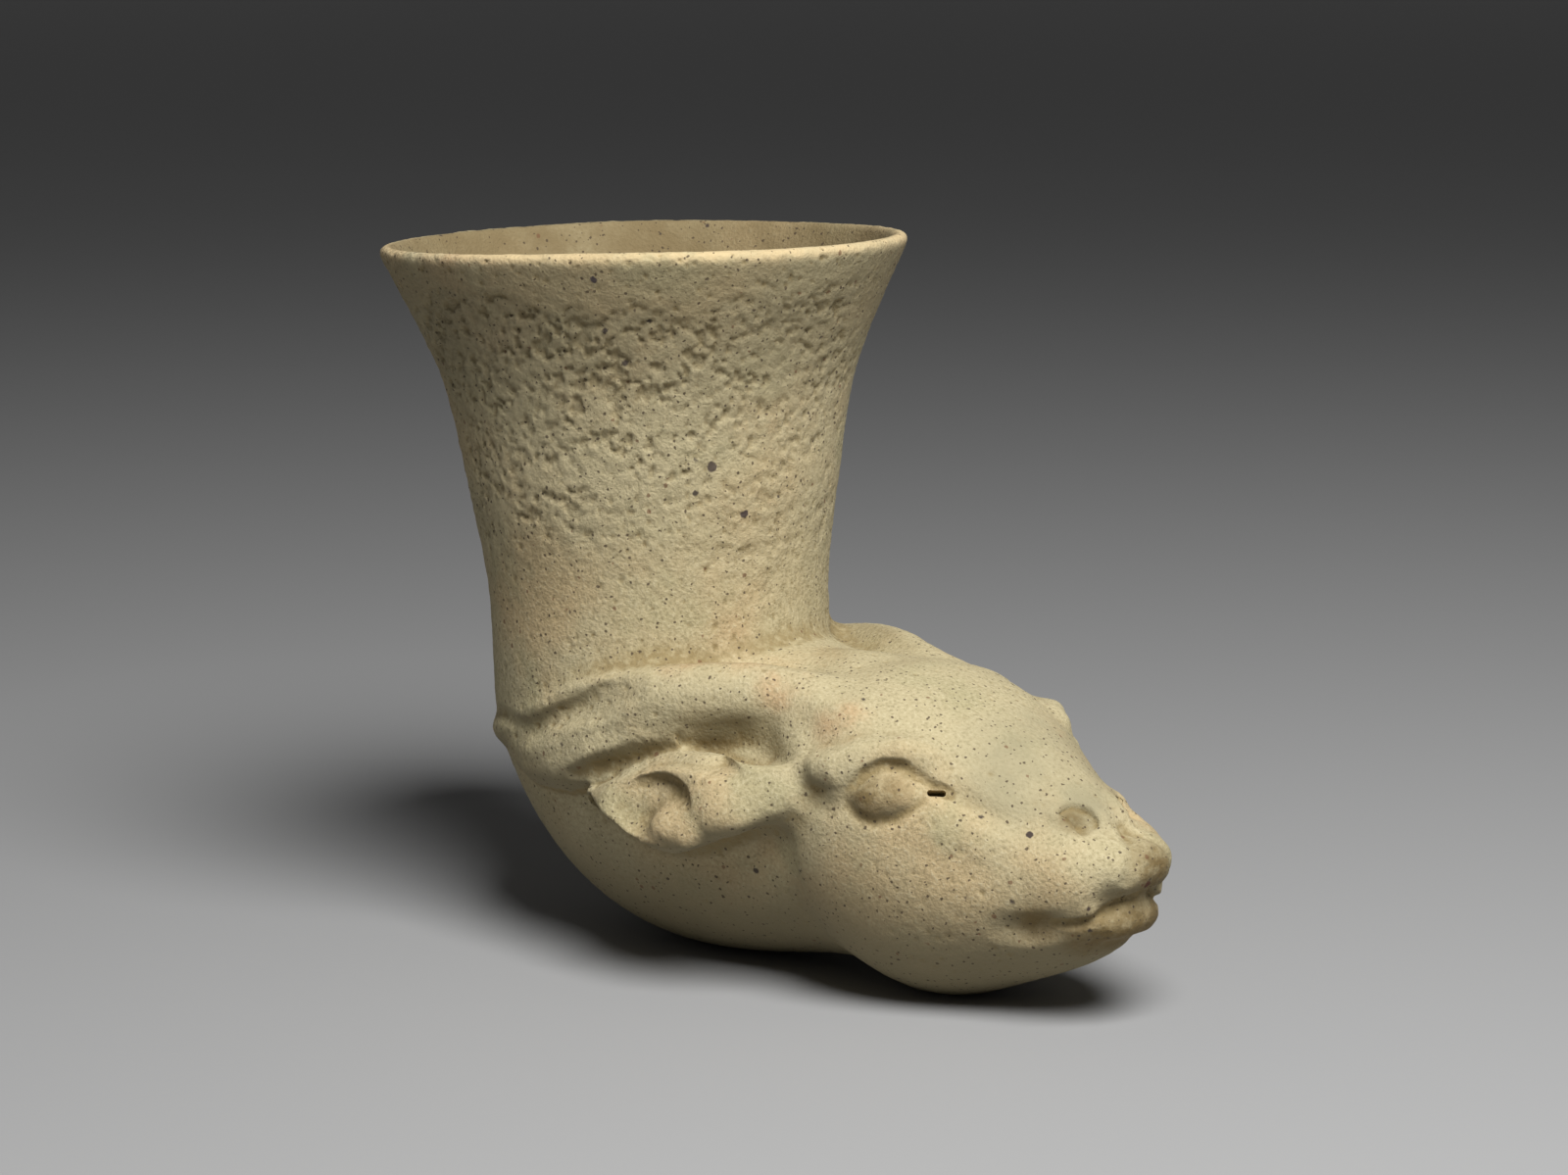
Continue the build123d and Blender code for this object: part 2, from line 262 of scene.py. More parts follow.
def roll(path, blend, cut=False):
    # a roll of clay (x, y, z, radius) laid along the side and smoothed in, or the same shape gouged out
    normals = normalsOf(points, quads)
    for line, side in bothSides(path):
        near = nearBox(line, line[:, 3].max() + hand["search"])
        if not cut:
            near = near[normals[near, 1] * side > hand["sideways"]]
        away, at = alongPath(points[near][:, [0, 2]], line[:, [0, 2, 1, 3]])
        inside = away < at[:, 3]
        near, away, at = near[inside], away[inside], at[inside]
        height = np.sqrt(at[:, 3] ** 2 - away ** 2)
        middle = side * at[:, 2]
        now = side * points[near, 1]
        if cut:
            change = now - (middle - height)
            keep = now > middle - at[:, 3] - hand["behind"]
        else:
            change = middle + height - now
            keep = now > middle - hand["behind"]
        near, now, change = near[keep], now[keep], change[keep]
        mix = np.clip(0.5 + 0.5 * change / blend, 0, 1)
        moved = change * mix + blend * mix * (1 - mix)
        points[near, 1] = side * (now - moved if cut else now + moved)
        share = np.zeros(len(points))
        share[near[moved > hand["felt"]]] = hand["rubbed"]
        rub(share, hand["gougeRounds"] if cut else hand["rollRounds"])


def flare(path, reach, out, skin):
    # leans outward what is further than skin from the middle, most at the path and none at reach from it
    for line, side in bothSides(path):
        near = nearBox(line, reach)
        away, at = alongPath(points[near][:, [0, 2]], line[:, [0, 2, 1, 3]])
        deep = ease(side * points[near, 1], skin, skin + hand["flareFade"])
        share = np.clip(1 - away / reach, 0, 1) * at[:, 3] * deep
        points[near, 1] += side * out * share


def rub(share, rounds):
    # softens only the points that have a share
    linked = edges[share[edges].max(axis=1) > 0]
    used = np.unique(linked)
    place = np.zeros(len(points), int)
    place[used] = np.arange(len(used))
    points[used] = softened(points[used], place[linked], rounds, share[used])


def thumb(patches):
    # patches rubbed smooth with the thumb: the middle, radius and rounds of each
    for middle, radius, rounds in patches:
        for line, _ in bothSides([middle]):
            away = np.linalg.norm(points - line[0], axis=1)
            rub(hand["rubbed"] * np.clip(1 - (away / radius) ** 2, 0, 1), rounds)


ridge = dict(  # the roll round the foot of the cup, that runs into the forehead
    cove=dict(blend=1.5, cut=True, path=[
        (-46, -41, 49.4, 8), (-35, -45, 49.4, 8), (-24.5, -47.2, 51.2, 8.5), (-20, -47.4, 54.4, 8.5),
        (-12.5, -47.4, 58.5, 9), (-6, -47.4, 63, 9.5), (2, -47, 67.6, 9.5)]),
    under=dict(blend=3.0, path=[
        (-52, -14, 46.5, 5), (-45, -22, 46, 5), (-38, -28, 44.8, 5.8), (-30, -32, 43.6, 6.6),
        (-20, -34.6, 44.6, 7.2), (-8, -35.5, 48.6, 7.2), (4, -33.4, 54.2, 6.8), (14, -28.6, 58, 6.5),
        (23, -23, 59.5, 6.5), (31, -20.5, 58.5, 6.5), (38, -24, 54.5, 6.3), (43, -29, 50, 6)]),
    temple=dict(blend=3.0, path=[(36, -21, 60, 7), (43, -20.5, 59.5, 7), (50, -21, 58, 7)]),
    brow=dict(radius=9.0, depth=-1.3, path=[
        (31, 0, 67.6, 0.8), (36, -6, 67.8, 1), (38, -12, 67, 1), (38, -19, 65, 0.4)]),
    smoothed=[
        ((44, -25, 60), 13, 50), ((34, -26, 58), 9, 20), ((40, -12, 68), 15, 60), ((30, -14, 70), 10, 40),
        ((40, -31, 32), 12, 40), ((41, -25, 20), 10, 30), ((-54, -22, 47), 9, 15)],
    crest=dict(radius=4.2, depth=-1.1, path=[
        (-50, -28, 45.4, 0.1), (-36.1, -38.2, 46.3, 1), (-27.1, -40.8, 47.1, 1), (-18.4, -41.3, 51, 1),
        (-7.8, -41.7, 55.1, 0.6)]),
    foot=dict(radius=2.6, depth=0.9, path=[
        (-52, -25, 49.4, 0.3), (-40.6, -33.5, 51, 1), (-29, -38.7, 50.8, 1), (-20.6, -38.8, 54.6, 1),
        (-12.6, -38.7, 57.9, 0.9), (-2.7, -37.3, 65, 0.3)]),
    recess=dict(blend=0.8, cut=True, path=[
        (-13, -41.5, 42.6, 1.8), (-5, -41.2, 45.6, 2.9), (3, -40, 48.4, 3.1), (9.4, -38.2, 50.3, 2.8),
        (16, -36.6, 51.4, 2.5), (22.6, -36.4, 51.5, 2.4), (28, -38, 51.2, 2.2), (32.5, -40.6, 50.6, 1.8),
        (36.5, -42.6, 50, 1.2)]),
    recessSmoothed=[
        ((4, -39, 48), 5, 6), ((18, -38, 51.5), 6, 8), ((11.6, -35.3, 53.6), 5, 12), ((31, -40, 51), 6, 14),
        ((34.5, -30, 53), 8, 45)],
)
roll(**ridge["cove"])
roll(**ridge["under"])
roll(**ridge["temple"])
press(**ridge["brow"])
thumb(ridge["smoothed"])
press(**ridge["crest"])
press(**ridge["foot"])
roll(**ridge["recess"])
thumb(ridge["recessSmoothed"])
print("ridge worked")

ear = dict(  # a leaf laid against the neck, hollow, with a pad at its root
    floor=dict(blend=1.0, path=[(4, -32.4, 41.5, 8), (12, -32.2, 43, 8.8), (20, -32.6, 44, 8.8)]),
    pad=dict(blend=2.4, path=[(17.5, -38, 37.2, 4.2), (23.5, -39, 37.6, 5.2)]),
    under=dict(blend=0.8, cut=True, path=[
        (-8, -39.5, 38.6, 1.2), (-0.8, -40, 35, 2.2), (7.3, -40, 31.7, 2.4), (17.8, -39.5, 28.4, 2.6),
        (23.6, -39, 27.8, 2.6), (28.5, -38.5, 27.6, 2.4), (35.5, -37.5, 27.4, 2), (40, -36, 27.4, 1.2)]),
    hollow=dict(radius=3.6, depth=1.0, path=[
        (2, -41.6, 43.8, 0.4), (9, -41.4, 45, 1), (17, -41.8, 46.2, 1), (23, -42, 46.4, 0.7)]),
    lowerEdge=dict(reach=13.0, out=5.0, skin=37.0, path=[
        (-7, -41, 40, 0.2), (-1.3, -43, 38.6, 0.7), (7.1, -43, 34.8, 1), (17, -44, 33, 1), (24, -44, 32.8, 1),
        (29, -43, 34.4, 0.6)]),
    rootFront=dict(radius=6.5, depth=-2.0, path=[
        (30, -43.6, 40, 0.6), (36, -42.4, 39, 1), (41, -39.6, 39, 0.6)]),
    rootTop=dict(radius=6.5, depth=1.3, path=[
        (29, -43, 50.6, 0.3), (34, -42.4, 50.4, 1), (39, -40.4, 50, 1), (43, -38, 48.6, 0.5)]),
    rootSmoothed=[((38, -36, 36), 8, 45)],
    padCrease=dict(radius=1.8, depth=0.9, path=[
        (16.5, -42.6, 43, 0.3), (20, -43.2, 43.6, 1), (24, -43.6, 43, 1), (28.4, -43.6, 40.2, 1),
        (30, -42.8, 36.6, 0.4)]),
    topSmoothed=[((37, -36, 51), 8, 60), ((32, -41, 50), 5, 20)],
    crack=dict(radius=0.9, depth=0.7, path=[(25.6, -43.2, 49.4), (26, -43.8, 46), (25.2, -43.8, 43.6)]),
)
roll(**ear["floor"])
roll(**ear["pad"])
roll(**ear["under"])
press(**ear["hollow"])
flare(**ear["lowerEdge"])
press(**ear["rootFront"])
press(**ear["rootTop"])
thumb(ear["rootSmoothed"])
press(**ear["padCrease"])
thumb(ear["topSmoothed"])
press(**ear["crack"])
print("ears worked")

face = dict(  # an animal's face, with the pads of the eye, nose and lips worked into the head
    lobe=dict(blend=2.4, path=[
        (45.6, -31.6, 50.6, 2.8), (49.5, -31.8, 52, 4.5), (54, -31, 53, 5), (59, -28.4, 55, 4.5),
        (65, -25, 56.4, 3.4)]),
    underLobe=dict(radius=4.6, depth=0.8, path=[
        (46, -35.4, 49, 0.4), (48, -35.6, 46.4, 1), (52, -35, 45.4, 1), (57, -34.2, 45.6, 0.7)]),
    lobeSmoothed=[((50, -30, 56.5), 7, 20), ((58, -26.4, 59.5), 5, 14)],
    eyeball=dict(radius=5.5, depth=-0.8, path=[(62, -32.4, 47.4), (66.5, -30.6, 48.6)]),
    lidTop=dict(radius=1.7, depth=1.5, path=[
        (58.6, -32.6, 49.6, 0.5), (60.4, -31.6, 52.3, 0.8), (63.4, -29.6, 54.3, 1), (66.8, -27.9, 54.1, 1),
        (70, -26.4, 52.4, 1), (73.2, -24.9, 50.4, 0.9), (75.8, -23.2, 48.8, 0.4)]),
    lidBottom=dict(radius=1.7, depth=0.9, path=[
        (57.5, -34, 45.4, 0.6), (60.5, -33.6, 43.4, 1), (63.8, -32.8, 42.6, 1), (68.2, -30.8, 43.7, 0.8),
        (71.6, -28, 46.6, 0.6), (73, -26, 48.6, 0.4)]),
    valley=dict(radius=4.0, depth=1.2, path=[
        (75, -23.5, 49.4, 0.7), (80, -21.2, 46.6, 1), (84, -19, 44.6, 0.8), (91, -15.4, 42.4, 0)]),
    cheek=dict(radius=7.5, depth=-1.1, path=[
        (69, -30, 42.5, 0), (76, -26.5, 43.5, 1), (83, -22.5, 41, 1), (91, -18, 38, 0.2)]),
    muzzle=dict(radius=8.0, depth=-1.6, path=[
        (91, -17.8, 33, 0.2), (98, -14, 35, 1), (103, -9.8, 35, 1), (106.5, -5.6, 34, 0.3)]),
    noseWing=dict(radius=3.6, depth=-0.7, path=[(98.2, -4, 47), (101, -3.6, 44.4)]),
    nostrilHollow=dict(radius=3.4, depth=3.3, path=[(97.6, -9.6, 44.6), (99.2, -8.6, 43.6)]),
    nostril=dict(radius=2.0, depth=2.1, path=[
        (95.2, -10.4, 45.8, 0.7), (96.6, -7.8, 46.6, 1), (98.6, -6.4, 45.6, 1), (100.4, -6.2, 43.6, 0.7)]),
    noseTip=dict(radius=7.0, depth=-0.8, path=[(110, -2.5, 35.6), (110.6, 0, 35.6)]),
    notch=dict(radius=2.6, depth=1.1, path=[
        (103.4, 0, 41.9, 0.8), (105.6, -1.6, 40.6, 1), (108.8, -3.9, 38.9, 1), (110.1, -6, 36.2, 0.9),
        (109.9, -7.3, 33.2, 0.5)]),
    mouth=dict(radius=1.7, depth=1.8, path=[
        (108.6, -2.2, 28.8), (106.8, -6, 27.4), (105, -9.6, 25.4), (102.4, -13.4, 23.4), (98, -16.6, 22.6)]),
    lip=dict(radius=4.4, depth=-0.5, path=[
        (107.8, 0, 24, 1), (106.6, -5, 23, 1), (103.8, -9, 21.8, 0.7), (100, -13, 20.8, 0.3)]),
    chin=dict(radius=4.0, depth=0.7, path=[
        (106, 0, 17.4, 1), (105, -4, 17, 1), (102, -8.5, 16.4, 0.6), (98, -12, 16, 0)]),
    corner=dict(radius=5.4, depth=2.0, path=[
        (88, -19.4, 21.4, 0.4), (92.5, -18, 21, 1), (97.5, -16.6, 21.8, 0.8), (101, -14.6, 23, 0.3)]),
    noseSmoothed=[((98, -8, 45), 5, 2), ((110, 0, 30), 5, 4)],
    settle=dict(rounds=2, share=0.3),  # a last wipe over the whole cup
)
roll(**face["lobe"])
press(**face["underLobe"])
thumb(face["lobeSmoothed"])
for stroke in ("eyeball", "lidTop", "lidBottom", "valley", "cheek", "muzzle", "noseWing", "nostrilHollow",
               "nostril", "noseTip", "notch", "mouth", "lip", "chin", "corner"):
    press(**face[stroke])
thumb(face["noseSmoothed"])
points = softened(points, edges, **face["settle"])
print("face worked")

cup = dict(
    axisX=-24.1,  # where the cup stands on the neck
    foot=58.0,
    lean=3.0,  # degrees back
    rim=154.0,
    rimRadius=59,
    skinFrom=(64, 74),  # heights over which the neck turns into the cup
    skinOut=(-0.3, 0.2),  # how far skin faces away from the axis, from the inside to the outside
    lift=1.6,  # mm that the rim stands higher on the left
    liftTowards=(-0.76, -0.65),
    liftHeights=(95, 157),
    liftSpread=(-0.9, 0.3),
)
leanBack = (points[:, 2] - cup["foot"]) * math.tan(math.radians(cup["lean"]))
fromAxis = np.stack([points[:, 0] - cup["axisX"] + leanBack, points[:, 1]], 1)
radius = np.linalg.norm(fromAxis, axis=1)
heading = fromAxis / np.maximum(radius, 1e-6)[:, None]
lifted = ease(fromAxis @ np.array(cup["liftTowards"]) / cup["rimRadius"], *cup["liftSpread"])
points[:, 2] += cup["lift"] * ease(points[:, 2], *cup["liftHeights"]) * lifted

normals = normalsOf(points, quads)
outside = ease((normals[:, :2] * heading).sum(1), *cup["skinOut"])
onCup = ease(points[:, 2], *cup["skinFrom"])
inner = onCup * (1 - outside)

wear = dict(  # the front of the cup has lost its skin in flakes, between the rim and the waist
    towards=(0.62, -0.78),
    spread=(0.0, 0.6),
    waist=(84, 112),  # heights over which the worn patch starts
    top=132.0,
    topFade=2.5,
    rise=15.0,  # mm that it reaches higher on the right
    riseTowards=(0.9, -0.43),
    riseSpread=(-0.5, 0.4),
    ragged=[(1.0, 16, 5), (0.6, 6, 6), (0.3, 3, 7)],  # weight, size in mm and seed, here and below
    raggedSide=0.25,  # how much that moves each edge of the patch
    raggedWaist=12,
    raggedTop=5,
    girth=46,  # mm from the axis, where the flakes have their true length
    slant=14.0,  # degrees that the flakes rise to the right
    stretch=1.6,  # length of a flake to its height
    layering=0.3,
    longFlakes=(2.4, 11),  # size and seed
    flakes=[(0.9, 1.5, 12), (0.7, 0.9, 14)],
    flakeEdge=(0.05, 0.75),
    flakeDepth=0.75,
    patches=[(1.0, 10, 17), (0.6, 4.5, 18)],  # places with more flakes and fewer crumbs
    patchEdge=(-0.5, 0.4),
    flakesLeast=0.5,
    crumbs=[(1.0, 1.7, 15), (0.5, 0.95, 16)],
    crumbEdge=(0.1, 0.6),
    crumbDepth=0.35,
    crumbsMost=0.8,
    crumbsLess=0.4,
    sunk=0.3,  # mm that the whole patch lies lower
    sunkLumps=(8, 13),
)
facing = heading @ np.array(wear["towards"])
around = np.arctan2(heading[:, 1], heading[:, 0]) * wear["girth"]
slant = math.radians(wear["slant"])
flakePlace = np.stack([
    (around * math.cos(slant) + points[:, 2] * math.sin(slant)) / wear["stretch"],
    points[:, 2] * math.cos(slant) - around * math.sin(slant),
    radius * wear["layering"]], 1)
ragged = lumpSum(wear["ragged"])
wornTop = wear["top"] + wear["rise"] * ease(heading @ np.array(wear["riseTowards"]), *wear["riseSpread"])
worn = onCup * outside * ease(facing + wear["raggedSide"] * ragged, *wear["spread"])
worn = worn * ease(points[:, 2] + wear["raggedWaist"] * ragged, *wear["waist"])
worn *= 1 - ease(points[:, 2] + wear["raggedTop"] * ragged - wornTop, -wear["topFade"], wear["topFade"])
flakes = lumpSum(wear["flakes"], lumps(flakePlace, *wear["longFlakes"]))
patchy = ease(lumpSum(wear["patches"]), *wear["patchEdge"])
chipped = ease(flakes, *wear["flakeEdge"]) * worn
chipped *= wear["flakesLeast"] + (1 - wear["flakesLeast"]) * patchy
crumbs = ease(lumpSum(wear["crumbs"]), *wear["crumbEdge"]) * worn
crumbs *= wear["crumbsMost"] - wear["crumbsLess"] * patchy
depth = wear["flakeDepth"] * chipped + wear["crumbDepth"] * crumbs
depth += wear["sunk"] * worn * (1 + lumps(flakePlace, *wear["sunkLumps"]))

sandy = dict(  # gritty clay all over: pits where grains fell out, pores and fine lumps
    pits=dict(spacing=3.0, smallest=0.45, largest=1.1, share=0.5, seed=31),
    pitDepth=0.42,
    pores=dict(spacing=1.9, smallest=0.4, largest=0.75, share=0.3, seed=41),
    poreDepth=0.3,
    grain=[(0.10, 2.2, 21), (0.10, 1.25, 22)],
    coarse=0.55,  # share of the depth, which differs from place to place
    coarseLumps=[(0.5, 26, 3)],
    coarseCup=0.45,  # more on the outside of the cup
    coarseLimits=(0.25, 1.3),
    smoothInside=0.65,
)
coarse = lumpSum(sandy["coarseLumps"], sandy["coarse"]) + sandy["coarseCup"] * onCup * outside
coarse = np.clip(coarse, *sandy["coarseLimits"])
pits = sandy["pitDepth"] * pocks(points, **sandy["pits"])
pores = sandy["poreDepth"] * pocks(points, **sandy["pores"]) * outside
depth += (pits + pores - lumpSum(sandy["grain"])) * coarse * (1 - sandy["smoothInside"] * inner)
points = points - normals * depth[:, None]
print("surface worn")


# surface: thrown and hand-built buff earthenware, unglazed. It gives a matte, sandy skin full of dark grit

def hexColour(text):
    parts = [int(text[k:k + 2], 16) / 255 for k in (1, 3, 5)]
    return [p / 12.92 if p <= 0.04045 else ((p + 0.055) / 1.055) ** 2.4 for p in parts] + [1.0]


def addNode(tree, kind, settings=None, values=None, links=None):
    made = tree.nodes.new(kind)
    for name, value in (settings or {}).items():
        setattr(made, name, value)
    for name, value in (values or {}).items():
        made.inputs[name].default_value = value
    for name, source in (links or {}).items():
        tree.links.new(source, made.inputs[name])
    return made


def perMetre(size):
    return 1 / (size * mm)


claySkin = dict(
    body="#b8ab86",
    roughness=0.9,
    ior=1.5,
    cloudRoughness=0.55,
    layers=[  # tone, size of its clouds in mm, octaves, noise from and to, share at both, painted mask
        ("#bba57c", 42, 3, 0.42, 0.62, 0.0, 1.0, None),  # warm
        ("#aca27c", 23, 3, 0.50, 0.68, 0.0, 0.8, None),  # greenish
        ("#bf9f76", 9, 4, 0.35, 0.65, 0.1, 0.75, "blush"),
        ("#cfc4a0", 0.75, 5, 0.50, 0.72, 0.0, 0.5, None),  # pale sand
        ("#857a58", 0.75, 5, 0.30, 0.50, 0.55, 0.0, None),  # dark sand
        ("#cbbd96", 3.2, 3, 0.30, 0.65, 0.15, 0.75, "worn"),  # painted light: paler over the worn patch, lifting the shade of its bump
        ("#7d6c4a", 12, 4, 0.30, 0.74, 0.98, 0.68, "inside"),
        # painted shade: darker where the skin faces down, under the belly, jaw and ridge
        ("#857a5c", 12, 4, 0.20, 0.80, 0.9, 1.0, "paintedShadeBelow"),
        ("#9c9374", 12, 4, 0.30, 0.74, 0.4, 0.95, "dust"),
        # painted highlight: paler warm tone along the top of the rim
        ("#cfb88c", 5, 3, 0.30, 0.65, 0.3, 0.9, "lip"),
        # earth stain, and painted shade on the lower lip
        ("#715d35", 2.6, 3, 0.30, 0.60, 0.55, 1.0, "stainAndShade"),
        # darker yellow-brown in hollows and pits
        ("#8a7850", 1.6, 3, 0.25, 0.60, 0.35, 0.9, "cavity"),
    ],
    sandSize=0.75,  # the clouds above that also give the sandy bump
    sandBump=dict(strength=0.8, height=0.4),
    crumbs=dict(size=0.9, octaves=5.0, roughness=0.75, strength=0.9, height=0.7),  # bump of the worn patch
    wander=dict(size=1.1, octaves=2.0, reach=0.9),  # shifts the grains, which makes their outlines ragged
    grits=[  # tone, spacing in mm, smallest and largest radius as a share of it, share of cells, strength
        ("#4a3c2c", 1.35, 0.12, 0.28, 0.55, 0.85),
        ("#6e4a30", 3.6, 0.08, 0.17, 0.35, 0.7),
        ("#352b29", 7.5, 0.05, 0.12, 0.3, 0.9),
    ],
    gritRagged=0.05,
    gritEdge=(-0.04, 0.02),
    inclusions=[  # single grains that the eye picks out: tone, place and radius in mm
        ("#3a2e2c", (91.3, -16.0, 41.3), 0.8),
        ("#5a3220", (110.8, -2.1, 31.7), 1.0),
        ("#54483f", (9.7, -21.3, 109.9), 1.2),
        ("#463a38", (12.0, -13.5, 99.0), 1.0),
        ("#3c3236", (0.8, -48.6, 151.3), 1.0),
        ("#4a3430", (6.3, -44.0, 155.8), 0.9),
    ],
    inclusionEdge=(0.8, 1.1),  # shares of the radius
    inclusionStrength=0.95,
)
mixSocket = dict(share=0, under=6, over=7, result=2)  # numbers of a colour mix's sockets


def clayMaterial(skin):
    material = bpy.data.materials.new("buffEarthenwareUnglazed")
    material.use_nodes = True
    tree = material.node_tree
    shader = tree.nodes["Principled BSDF"]
    shader.inputs["Roughness"].default_value = skin["roughness"]
    shader.inputs["IOR"].default_value = skin["ior"]
    where = addNode(tree, "ShaderNodeTexCoord").outputs["Object"]
    smooth = {"interpolation_type": "SMOOTHSTEP"}
    colours = {"data_type": "RGBA"}
    times = {"operation": "MULTIPLY"}

    clouds = {}
    colour = None
    for tone, size, octaves, low, high, atLow, atHigh, mask in skin["layers"]:
        if size not in clouds:
            clouds[size] = addNode(
                tree, "ShaderNodeTexNoise",
                values={"Scale": perMetre(size), "Detail": octaves, "Roughness": skin["cloudRoughness"]},
                links={"Vector": where}).outputs["Fac"]
        share = addNode(
            tree, "ShaderNodeMapRange", smooth,
            {"From Min": low, "From Max": high, "To Min": atLow, "To Max": atHigh},
            {"Value": clouds[size]}).outputs["Result"]
        if mask:
            painted = addNode(tree, "ShaderNodeAttribute", {"attribute_name": mask}).outputs["Fac"]
            share = addNode(tree, "ShaderNodeMath", times, links={0: share, 1: painted}).outputs[0]
        under = {mixSocket["under"]: colour} if colour else {}
        colour = addNode(
            tree, "ShaderNodeMix", colours,
            {mixSocket["under"]: hexColour(skin["body"]), mixSocket["over"]: hexColour(tone)},
            {mixSocket["share"]: share, **under}).outputs[mixSocket["result"]]

    sand = clouds[skin["sandSize"]]
    wander = skin["wander"]
    drift = addNode(
        tree, "ShaderNodeTexNoise",
        values={"Scale": perMetre(wander["size"]), "Detail": wander["octaves"]},
        links={"Vector": where})
    shifted = addNode(
        tree, "ShaderNodeVectorMath", {"operation": "MULTIPLY_ADD"},
        {1: (wander["reach"] * mm,) * 3, 2: (-wander["reach"] / 2 * mm,) * 3},
        {0: drift.outputs["Color"]}).outputs[0]
    shifted = addNode(
        tree, "ShaderNodeVectorMath", {"operation": "ADD"},
        links={0: shifted, 1: where}).outputs[0]

    masks = []
    for tone, spacing, small, large, filled, strength in skin["grits"]:
        spots = addNode(
            tree, "ShaderNodeTexVoronoi",
            values={"Scale": perMetre(spacing)}, links={"Vector": shifted})
        pick = addNode(tree, "ShaderNodeSeparateColor", links={"Color": spots.outputs["Color"]}).outputs[0]
        reach = addNode(
            tree, "ShaderNodeMapRange",
            values={"From Min": 1 - filled, "From Max": 1.0, "To Min": small, "To Max": large},
            links={"Value": pick}).outputs["Result"]
        away = addNode(
            tree, "ShaderNodeMath", {"operation": "MULTIPLY_ADD"}, {1: skin["gritRagged"]},
            {0: sand, 2: spots.outputs["Distance"]}).outputs[0]
        gap = addNode(tree, "ShaderNodeMath", {"operation": "SUBTRACT"}, links={0: reach, 1: away}).outputs[0]
        edgeFrom, edgeTo = skin["gritEdge"]
        solid = addNode(
            tree, "ShaderNodeMapRange", smooth,
            {"From Min": edgeFrom, "From Max": edgeTo, "To Max": strength},
            {"Value": gap}).outputs["Result"]
        chosen = addNode(
            tree, "ShaderNodeMath", {"operation": "GREATER_THAN"}, {1: 1 - filled}, {0: pick}).outputs[0]
        masks.append((tone, addNode(tree, "ShaderNodeMath", times, links={0: solid, 1: chosen}).outputs[0]))
    for tone, place, size in skin["inclusions"]:
        away = addNode(
            tree, "ShaderNodeVectorMath", {"operation": "DISTANCE"}, {1: Vector(place) * mm},
            {0: shifted}).outputs["Value"]
        edgeFrom, edgeTo = (size * part * mm for part in skin["inclusionEdge"])
        masks.append((tone, addNode(
            tree, "ShaderNodeMapRange", smooth,
            {"From Min": edgeFrom, "From Max": edgeTo, "To Min": skin["inclusionStrength"], "To Max": 0.0},
            {"Value": away}).outputs["Result"]))
    for tone, mask in masks:
        colour = addNode(
            tree, "ShaderNodeMix", colours, {mixSocket["over"]: hexColour(tone)},
            {mixSocket["share"]: mask, mixSocket["under"]: colour}).outputs[mixSocket["result"]]
    tree.links.new(colour, shader.inputs["Base Color"])

    crumbs = skin["crumbs"]
    crumbled = addNode(
        tree, "ShaderNodeTexNoise",
        values={"Scale": perMetre(crumbs["size"]), "Detail": crumbs["octaves"],
                "Roughness": crumbs["roughness"]},
        links={"Vector": where}).outputs["Fac"]
    wornMask = addNode(tree, "ShaderNodeAttribute", {"attribute_name": "worn"}).outputs["Fac"]
    crumbled = addNode(tree, "ShaderNodeMath", times, links={0: crumbled, 1: wornMask}).outputs[0]
    rough = addNode(
        tree, "ShaderNodeBump",
        values={"Strength": crumbs["strength"], "Distance": crumbs["height"] * mm},
        links={"Height": crumbled}).outputs["Normal"]
    fine = addNode(
        tree, "ShaderNodeBump",
        values={"Strength": skin["sandBump"]["strength"], "Distance": skin["sandBump"]["height"] * mm},
        links={"Height": sand, "Normal": rough}).outputs["Normal"]
    tree.links.new(fine, shader.inputs["Normal"])
    return material


def paint(mesh, name, values):
    layer = mesh.attributes.new(name, "FLOAT", "POINT")
    layer.data.foreach_set("value", values.astype(np.float32))


def spotted(spots):
    # 1 at the middle of each spot (x, y, z, radius), 0 at its edge
    most = np.zeros(len(points))
    for x, y, z, reach in spots:
        most = np.maximum(most, np.clip(1 - np.linalg.norm(points - (x, y, z), axis=1) / reach, 0, 1))
    return most


tints = dict(
    blush=dict(most=1.0, fade=0.7, spots=[  # pinker where the fire reached
        (-30, -55, 146, 22), (5, -48, 136, 16), (18, -20, 76, 16), (34, -26, 66, 9), (50, -27, 61, 9),
        (-40, -20, 150, 20), (10, -30, 70, 9)]),
    stainAndShade=dict(most=0.95, fade=0.8, spots=[  # yellow-brown earth left in the mouth, nose and eyes; the spots on the lower lip also stand in for the shade under it, as painted shade
        (107, -3, 21, 12), (104, -9, 20, 11), (107, 4, 21, 11), (111, 0, 34, 10), (94, -17.5, 23, 7),
        (97.5, -9, 44.5, 5), (62, -32, 47, 7), (67, -30, 49, 5)]),
    dust=dict(most=1.0, fade=0.6, spots=[  # greyer along the snout
        (84, -7, 53, 20), (93, -4, 49, 14), (84, 7, 53, 20)]),
    cavity=(0.02, 0.28),  # mm below the softened skin
    cavitySoft=dict(rounds=12, share=0.5),
    cavityWorn=0.45,  # less darkening where the skin is worn off
    rimHighlightBand=2,  # mm over which the rim turns paler, as a painted highlight on its top
    rimHighlightInside=0.6,
    paintedShadeBelow=(0.0, 0.65),  # how far skin faces down, over which the painted shade comes in
)

whole = meshOf("clayBody", points, quads)
for name in ("blush", "stainAndShade", "dust"):
    tint = tints[name]
    paint(whole, name, tint["most"] * ease(spotted(tint["spots"]), 0, tint["fade"]))
cavity = ((softened(points, edges, **tints["cavitySoft"]) - points) * normals).sum(1)
paint(whole, "cavity", ease(cavity, *tints["cavity"]) * (1 - tints["cavityWorn"] * worn))
paint(whole, "inside", inner)
